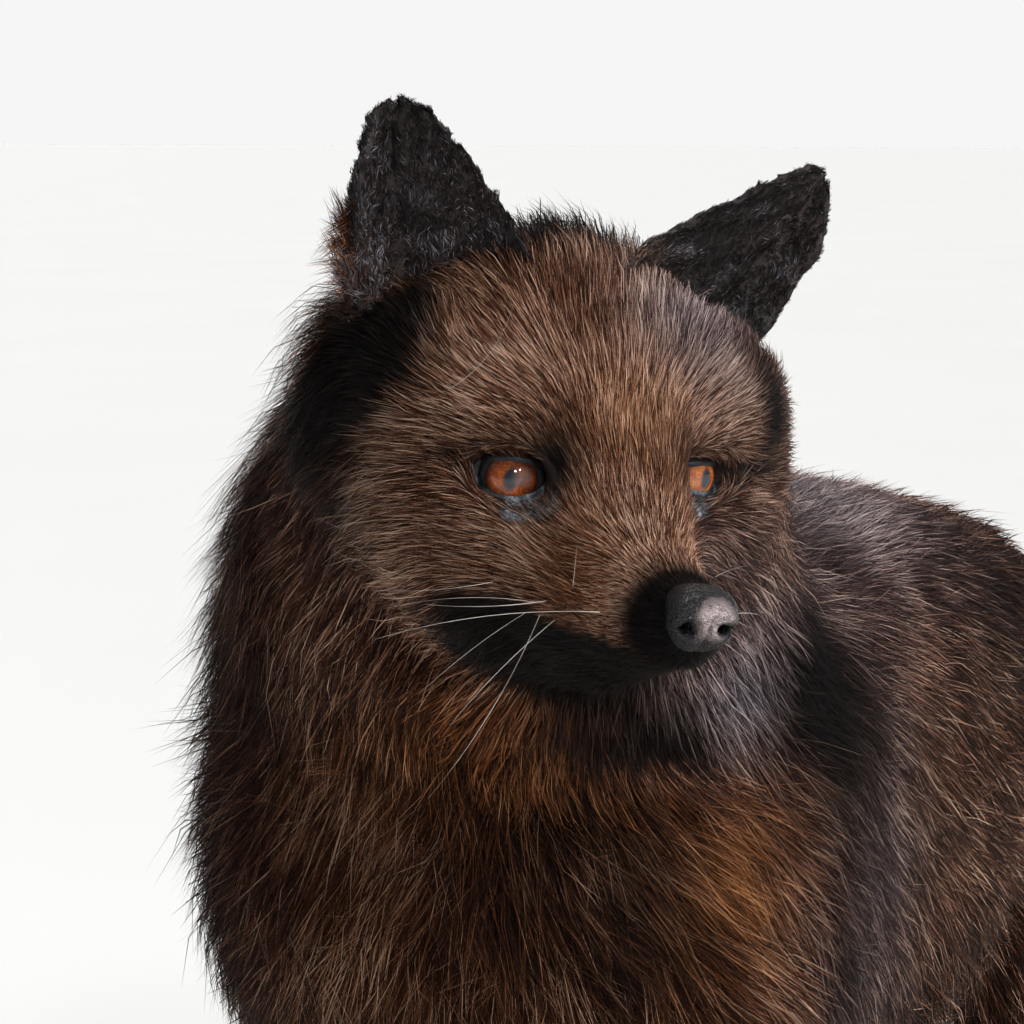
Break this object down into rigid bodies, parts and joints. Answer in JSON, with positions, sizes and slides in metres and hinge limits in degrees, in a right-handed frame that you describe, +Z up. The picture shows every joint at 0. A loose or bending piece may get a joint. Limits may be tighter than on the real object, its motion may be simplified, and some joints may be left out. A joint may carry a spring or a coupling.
{
  "type": "taxidermy fox",
  "caption": "Life-size mounted fox in a dark brown and black coat, standing still on a plain wooden plank with its head turned to its left.",
  "frame": {"origin": "centre of the plank's underside", "axes": "+Z up, -Y the way the trunk faces, +X the fox's left"},
  "size_m": [0.2693, 0.9122, 0.5607],
  "materials": {
    "coat_brown": "dark brown fur",
    "coat_rust": "rusty brown fur",
    "coat_black": "short black fur",
    "eye_glass": "polished amber glass eye",
    "nose_pad": "dull black skin worn pinkish grey",
    "claw": "dark horn",
    "plank": "stained and waxed"
  },
  "bodies": {
    "root": {"claw_forepaw_left_1": "claw", "claw_forepaw_left_2": "claw", "claw_forepaw_left_3": "claw", "claw_forepaw_left_4": "claw", "claw_hindpaw_left_1": "claw", "claw_hindpaw_left_2": "claw", "claw_hindpaw_left_3": "claw", "claw_hindpaw_left_4": "claw", "claw_forepaw_right_1": "claw", "claw_forepaw_right_2": "claw", "claw_forepaw_right_3": "claw", "claw_forepaw_right_4": "claw", "claw_hindpaw_right_1": "claw", "claw_hindpaw_right_2": "claw", "claw_hindpaw_right_3": "claw", "claw_hindpaw_right_4": "claw", "eye_left": "eye_glass", "eye_right": "eye_glass", "nose": "nose_pad", "ear_left": "coat_black", "ear_right": "coat_black", "lower_jaw": "coat_black", "head": "coat_brown", "forepaw_left": "coat_black", "foreleg_left": "coat_black", "hindpaw_left": "coat_black", "hindleg_left": "coat_black", "forepaw_right": "coat_black", "foreleg_right": "coat_black", "hindpaw_right": "coat_black", "hindleg_right": "coat_black", "tail": "coat_brown", "neck": "coat_rust", "trunk": "coat_brown", "stand_plank": "plank"}
  },
  "joints": []
}
